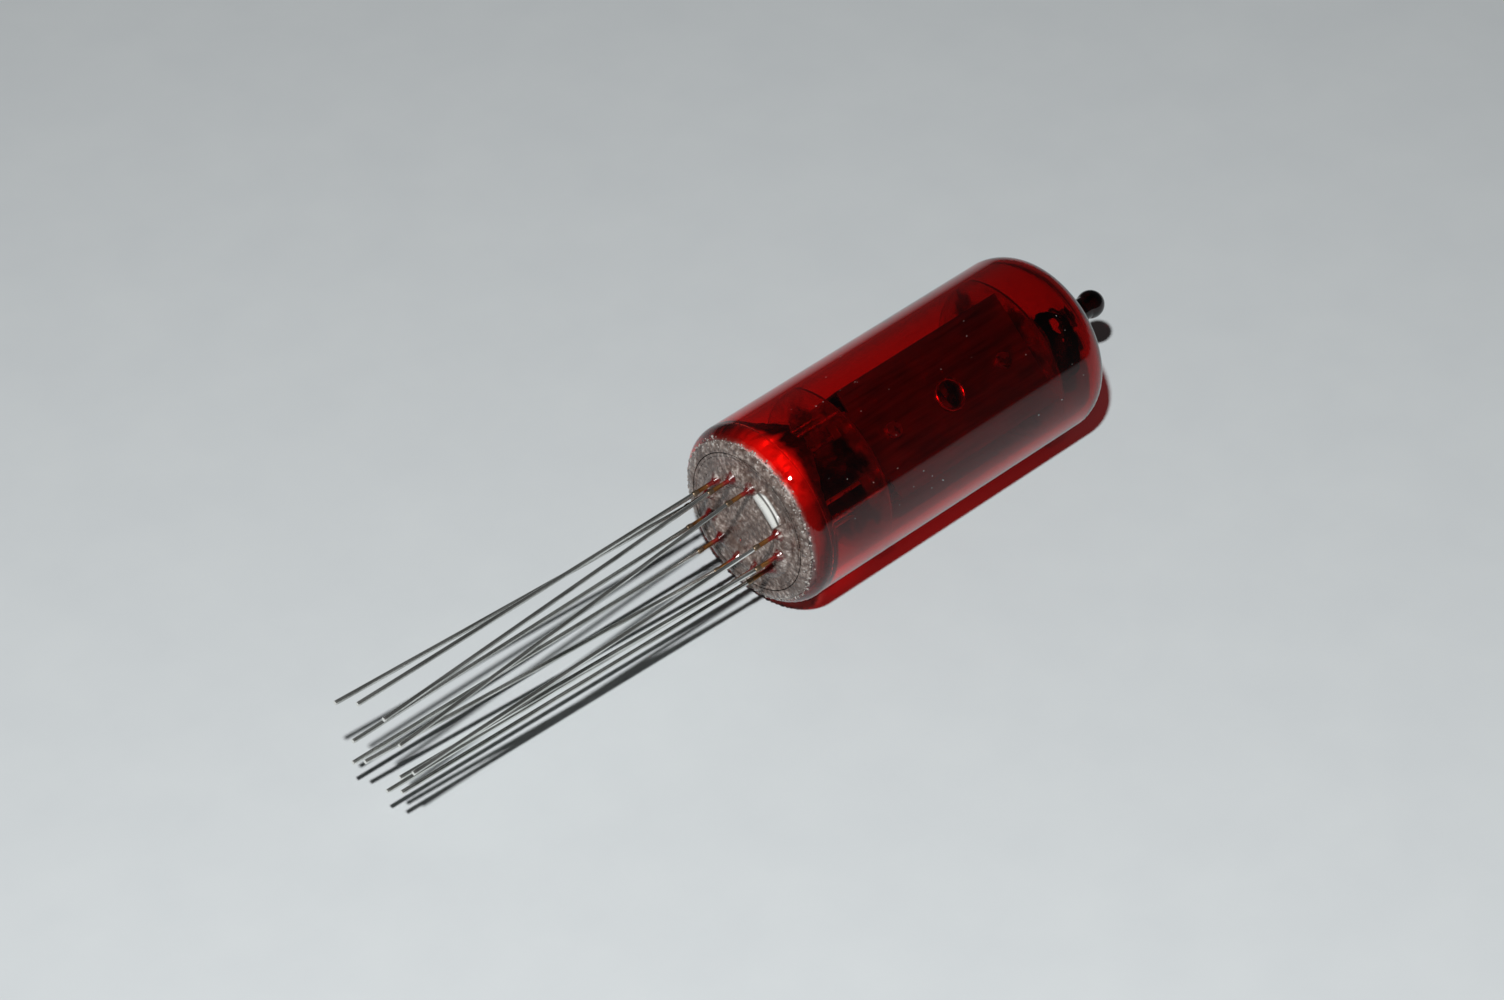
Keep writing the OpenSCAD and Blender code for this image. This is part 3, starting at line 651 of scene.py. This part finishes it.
# %% [markdown]
# ## The cloudy seam and its fillet
# Inside the foot, the seam of bulb and base is cloudy with fine bubbles, and the melted glass has
# crept up the wall as a fillet, highest on one side. The lamp lights it through the lacquer, which
# makes the brightest red of the whole bulb. Its colour is pale only near the top, on the lamp's
# side, and dark elsewhere: a painted pool of light and painted shade over the real cloudiness. Its
# section is a block in the seam with a quarter of an ellipse above it, flat on the base and upright
# on the wall, spun round with a wandering height.

# %% Seam fillet
SEAM_LOW, FILLET_IN, FILLET_SINK = 0.95, 6.6, 0.03
FILLET_LEAST, FILLET_MOST = 0.7, 3.0
FILLET_PEAK, FILLET_SPREAD = math.radians(96), math.radians(36)
FILLET_WAVES = ((0.30, 3.5), (0.15, 11))
PAINTED_LIGHT_ANGLE, PAINTED_LIGHT_FADE = math.radians(104), (0.74, 0.995)
FILLET_ROWS, FILLET_STEPS = 10, 240

fillet = bmesh.new()
columns = []
for step in range(FILLET_STEPS):
    angle = math.tau * step / FILLET_STEPS
    side = out_at(angle)
    off_peak = math.remainder(angle - FILLET_PEAK, math.tau) / FILLET_SPREAD
    high = FILLET_LEAST + (FILLET_MOST - FILLET_LEAST) * math.exp(-off_peak ** 2)
    high *= sum((share * noise.noise(side * often) for share, often in FILLET_WAVES), start=1)
    wall, sunk = BORE_R + FILLET_SINK, BASE_THICK - FILLET_SINK
    seam = SEAM_R + FILLET_SINK
    section = [(SEAM_LOW, wall), (SEAM_LOW, seam), (sunk, seam), (sunk, FILLET_IN)]
    for row in range(FILLET_ROWS + 1):
        bend = math.pi / 2 * row / FILLET_ROWS
        section.append((BASE_THICK + high * (1 - math.cos(bend)),
                        FILLET_IN + (wall - FILLET_IN) * math.sin(bend)))
    columns.append([fillet.verts.new((Vector((x, 0, 0)) + side * r) * MM) for x, r in section])
join_round(fillet, columns)

cloudy = Finish("cloudy_glass_and_painted_light", **{"IOR": 1.5})
cloudiness = cloudy.grain(1.4)
white = cloudy.ramp(cloudiness, (0.34, (0.30, 0.285, 0.27)), (0.54, (0.66, 0.64, 0.61)))
straight_out = cloudy.node("VectorMath", {0: cloudy.from_axis()}, operation="NORMALIZE").outputs[0]
towards_painted_light = cloudy.node("VectorMath", {0: straight_out, 1: out_at(PAINTED_LIGHT_ANGLE)},
                           operation="DOT_PRODUCT").outputs["Value"]
# Painted light and shade: pale towards one angle near the lamp's side, dark all round elsewhere.
cloudy.colour(cloudy.blend(cloudy.fade(towards_painted_light, *PAINTED_LIGHT_FADE), (0.16, 0.149, 0.140), white))
cloudy.roughness(cloudy.fade(cloudiness, 0.3, 0.7, 0.18, 0.40))
cloudy.relief(cloudy.grain(0.7), 0.04)
add_piece("seam_fillet", fillet, cloudy)

# %% [markdown]
# ## Crumbs of glass
# Along the outer edge of that rim a rough ring of white crumbs marks where the lacquer begins.
# In the photograph single grains catch the light, so each crumb is a small ball of its own,
# pulled out of round by noise, squashed and sunk into the glass. A fixed seed lays them the
# same way each time.

# %% Foot crumbs
CRUMB_RINGS = ((7.9 * MM, 60), (8.25 * MM, 110), (8.55 * MM, 190), (8.72 * MM, 60))
CRUMB_SIZE, CRUMB_STRAY = (0.03 * MM, 0.14 * MM), 0.10 * MM
CRUMB_STRETCH = ((0.8, 1.7), (0.8, 1.3), (0.45, 0.8))
CRUMB_LUMP, CRUMB_LUMPS, CRUMB_SHIFT = 0.45, 1.3, 50
SEED = 12

dice = random.Random(SEED)


def add_crumb(heap, spot, upright, size):
    """A squashed, uneven grain that sits half in the glass"""
    flat = Matrix.Diagonal([dice.uniform(*span) for span in CRUMB_STRETCH] + [1])
    facing_up = upright.to_track_quat("Z", "Y").to_matrix().to_4x4()
    spun = Matrix.Rotation(dice.uniform(0, math.tau), 4, "Z")
    grain = bmesh.ops.create_icosphere(heap, subdivisions=2, radius=size)["verts"]
    shift = Vector([dice.uniform(-CRUMB_SHIFT, CRUMB_SHIFT) for _ in range(3)])
    for vert in grain:
        vert.co *= 1 + CRUMB_LUMP * noise.noise(vert.co / size * CRUMB_LUMPS + shift)
    bmesh.ops.transform(heap, matrix=Matrix.Translation(spot) @ facing_up @ spun @ flat, verts=grain)


crumbs = bmesh.new()
for ring_r, count in CRUMB_RINGS:
    for step in range(count):
        angle = math.tau * (step + dice.uniform(-0.5, 0.5)) / count
        spot, upright = foot_point(ring_r + dice.gauss(0, CRUMB_STRAY), angle)
        add_crumb(crumbs, spot, upright, dice.uniform(*CRUMB_SIZE))

frosted = Finish("frosted_glass", **{"Transmission Weight": 0.4, "IOR": 1.5})
frost = frosted.grain(0.3)
frosted.colour(frosted.ramp(frost, (0.35, (0.22, 0.18, 0.16)), (0.5, (0.48, 0.43, 0.39)),
                            (0.7, (0.84, 0.80, 0.76))))
frosted.roughness(frosted.fade(frost, 0.3, 0.7, 0.10, 0.35))
add_piece("foot_crumbs", crumbs, frosted)

# %% [markdown]
# ## Dust on the lacquer
# A few pale specks of dust lie on the glossy red wall. They are the same small grains as the
# crumbs, only finer and scattered over the upper half of the bulb.

# %% Dust specks
DUST_COUNT, DUST_SIZE = 46, (0.018 * MM, 0.045 * MM)
DUST_FROM, DUST_TO = 3 * MM, 37 * MM

dust = bmesh.new()
for _ in range(DUST_COUNT):
    side = out_at(dice.uniform(0.0, math.pi))
    spot = Vector((dice.uniform(DUST_FROM, DUST_TO), 0, 0)) + side * BULB_R
    add_crumb(dust, spot, side, dice.uniform(*DUST_SIZE))

lint = Finish("pale_dust", Roughness=0.9)
lint.colour(lint.ramp(lint.grain(4.0), (0.35, (0.42, 0.34, 0.32)), (0.65, (0.80, 0.77, 0.74))))
add_piece("dust_specks", dust, lint)

# %% [markdown]
# ## The getter's dark mirror
# When the getter was fired, its metal settled as a dark, shiny film on the inside of the dome,
# round the hole of the exhaust tip. A stain in the glass material could show it, but the film
# is metal on the inside only. So it is a thin shell just under the cone of the dome, with a
# ragged edge and an open middle. The dome's inner peak is found in the bulb's own mesh.
# Solidify makes the film's edge in no fixed order, so the faces are then sorted along a skew line,
# and each run gives the same mesh.

# %% Getter mirror
CROWN_SLOPE = math.radians(20)
FILM_GAP, FILM_THICK = 0.03 * MM, 0.03 * MM
FILM_MIDDLE, FILM_R, EXHAUST_R = Vector((0, -1.2, -1.0)) * MM, 3.5 * MM, 0.8 * MM
FILM_RINGS, FILM_STEPS = 22, 96
SKEW_LINE = Vector((17.0, 31.7, 57.3))
FILM_WAVES = ((0.22, 1.7), (0.06, 7))
ON_AXIS = 0.01 * MM

peak = min(v.co.x for v in tube["envelope"].data.vertices if math.hypot(v.co.y, v.co.z) < ON_AXIS)


def under_dome(flat):
    """Drops a point of the plane across the axis onto the inside of the dome"""
    return Vector((peak - math.hypot(flat.y, flat.z) * math.tan(CROWN_SLOPE) - FILM_GAP, flat.y, flat.z))


film = bmesh.new()
rings = []
for ring in range(1, FILM_RINGS + 1):
    row = []
    for step in range(FILM_STEPS):
        side = out_at(math.tau * step / FILM_STEPS)
        reach = FILM_R * sum((share * noise.noise(side * often) for share, often in FILM_WAVES), start=1)
        row.append(film.verts.new(under_dome(FILM_MIDDLE + side * reach * ring / FILM_RINGS)))
    rings.append(row)
for inner, outer in zip(rings, rings[1:]):
    for step in range(FILM_STEPS):
        after = (step + 1) % FILM_STEPS
        corners = (inner[step], outer[step], outer[after], inner[after])
        if min(math.hypot(v.co.y, v.co.z) for v in corners) > EXHAUST_R:
            film.faces.new(corners)
bmesh.ops.delete(film, geom=[v for v in film.verts if not v.link_faces], context="VERTS")
bmesh.ops.recalc_face_normals(film, faces=film.faces)
bmesh.ops.solidify(film, geom=film.faces[:], thickness=FILM_THICK)
film.faces.sort(key=lambda face: face.calc_center_median().dot(SKEW_LINE))

mirror = Finish("getter_mirror", Metallic=1.0)
cloud = mirror.grain(1.6)
mirror.colour(mirror.ramp(cloud, (0.3, (0.030, 0.028, 0.030)), (0.7, (0.11, 0.095, 0.085))))
mirror.roughness(mirror.fade(cloud, 0.3, 0.7, 0.10, 0.30))
add_piece("getter_mirror", film, mirror)
print("dome's inner peak at (mm)", round(peak / MM, 2))

# %% [markdown]
# ## The eyelet of the vent
# The shield behind the numerals has a round vent whose edge is rolled over, and this roll is the
# one bright ring that shows through the red glass. A torus round the vent's lip gives the roll.
# The solids say where it goes: halfway between the two rods, on top of the lip.

# %% Vent eyelet
EYELET_ROUND, EYELET_TUCK, LIP_EDGE = 0.17 * MM, 0.4, 0.01 * MM
EYELET_TURNS, EYELET_SIDES = 64, 14
AXIS, REAR = Vector((1, 0, 0)), out_at(EMPTY_ANGLE)

rod_x = [(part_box(name)[0].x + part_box(name)[1].x) / 2 for name in numbered("stack_rod_")]
vent_x = sum(rod_x) / len(rod_x)
lip = [v.co for v in tube["rear_shield"].data.vertices]
lip_top = max(co.dot(REAR) for co in lip)
lip_spot = AXIS * vent_x + REAR * lip_top
lip_r = max((co - lip_spot).length for co in lip if co.dot(REAR) > lip_top - LIP_EDGE)
aside = REAR.cross(AXIS)

eyelet = bmesh.new()
loops = []
for step in range(EYELET_TURNS):
    angle = math.tau * step / EYELET_TURNS
    out = AXIS * math.cos(angle) + aside * math.sin(angle)
    loop = []
    for side in range(EYELET_SIDES):
        roll = math.tau * side / EYELET_SIDES
        reach = lip_r - EYELET_TUCK * EYELET_ROUND + EYELET_ROUND * math.cos(roll)
        loop.append(eyelet.verts.new(lip_spot + out * reach + REAR * EYELET_ROUND * math.sin(roll)))
    loops.append(loop)
join_round(eyelet, loops)

polished = Finish("polished_nickel", Metallic=1.0)
polished.colour(polished.ramp(polished.grain(1.0), (0.3, (0.60, 0.58, 0.55)), (0.7, (0.82, 0.80, 0.76))))
polished.roughness(polished.fade(polished.grain(0.6), 0.3, 0.7, 0.14, 0.30))
add_piece("vent_eyelet", eyelet, polished)
print("vent at (mm)", round(vent_x / MM, 2), "lip radius", round(lip_r / MM, 2))

# %% [markdown]
# ## Butt welds on the leads
# Each lead is two wires welded end to end, a few millimetres from the glass, and the weld leaves
# a slightly thicker, darker bead. The ends of the seal wires say where: a small spindle is spun
# round each of them.

# %% Lead welds
WELD_LONG, WELD_FAT = 0.75 * MM, 0.29 * MM
WELD_NECK, WELD_SWELL = 0.80, 0.20
WELD_RINGS, WELD_SIDES = 7, 16


def add_spindle(heap, centre, long, fat):
    """A bead that swells from the wire's thickness and closes on it again"""
    rows = []
    for ring in range(WELD_RINGS):
        share = ring / (WELD_RINGS - 1)
        radius = fat * (WELD_NECK + WELD_SWELL * math.sin(math.pi * share))
        row = []
        for side in range(WELD_SIDES):
            angle = math.tau * side / WELD_SIDES
            around = Vector(((share - 0.5) * long, radius * math.cos(angle), radius * math.sin(angle)))
            row.append(heap.verts.new(centre + around))
        rows.append(row)
    for low, high in zip(rows, rows[1:]):
        for side in range(WELD_SIDES):
            after = (side + 1) % WELD_SIDES
            heap.faces.new((low[side], high[side], high[after], low[after]))
    heap.faces.new(rows[0])
    heap.faces.new(rows[-1][::-1])


welds = bmesh.new()
for name in numbered("seal_wire_"):
    low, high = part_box(name)
    add_spindle(welds, Vector((low.x, (low.y + high.y) / 2, (low.z + high.z) / 2)), WELD_LONG, WELD_FAT)

weld_scale = Finish("weld_scale", Metallic=0.9)
scaly = weld_scale.grain(0.3)
weld_scale.colour(weld_scale.ramp(scaly, (0.3, (0.14, 0.09, 0.055)), (0.7, (0.36, 0.27, 0.18))))
weld_scale.roughness(weld_scale.fade(weld_scale.grain(0.2), 0.3, 0.7, 0.30, 0.50))
add_piece("lead_welds", welds, weld_scale)

# %% [markdown]
# ## Done
# The box of the dressed tube is set beside the box of the bare one, so that nothing added here
# can make the part grow unseen.

# %% Sizes and finish
low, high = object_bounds()
print("grown by (mm)", [round(v / MM, 3) for v in (high - low) - (cad_high - cad_low)])
